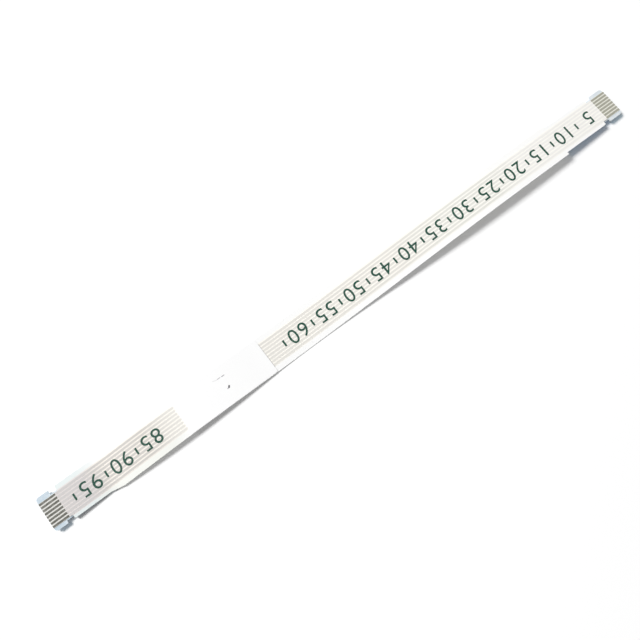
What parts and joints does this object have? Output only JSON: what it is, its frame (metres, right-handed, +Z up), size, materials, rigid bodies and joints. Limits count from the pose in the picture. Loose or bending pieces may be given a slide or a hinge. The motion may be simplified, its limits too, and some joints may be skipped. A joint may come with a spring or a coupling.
{
  "type": "flat flex cable",
  "caption": "Flat flex cable: parallel flat conductors laminated between white films, with bare contacts on stiffened, notched tabs at both ends.",
  "frame": {"origin": "middle of the cable's footprint, on the surface that it lies on", "axes": "+X along the cable towards the longer tab, +Y across it, +Z up, contacts facing up"},
  "size_m": [0.1019, 0.0058, 0.0017],
  "materials": {
    "tinned_copper": "dull tin plate",
    "top_film": "satin white polyester film",
    "bottom_film": "satin white polyester film",
    "stiffener": "pale blue polyester sheet",
    "patch": "plain opaque white tape"
  },
  "bodies": {
    "root": {"conductor_1": "tinned_copper", "conductor_2": "tinned_copper", "conductor_3": "tinned_copper", "conductor_4": "tinned_copper", "conductor_5": "tinned_copper", "conductor_6": "tinned_copper", "conductor_7": "tinned_copper", "conductor_8": "tinned_copper", "top_film": "top_film", "bottom_film": "bottom_film", "stiffener_left": "stiffener", "stiffener_right": "stiffener", "adhesive_patch": "patch"}
  },
  "joints": []
}
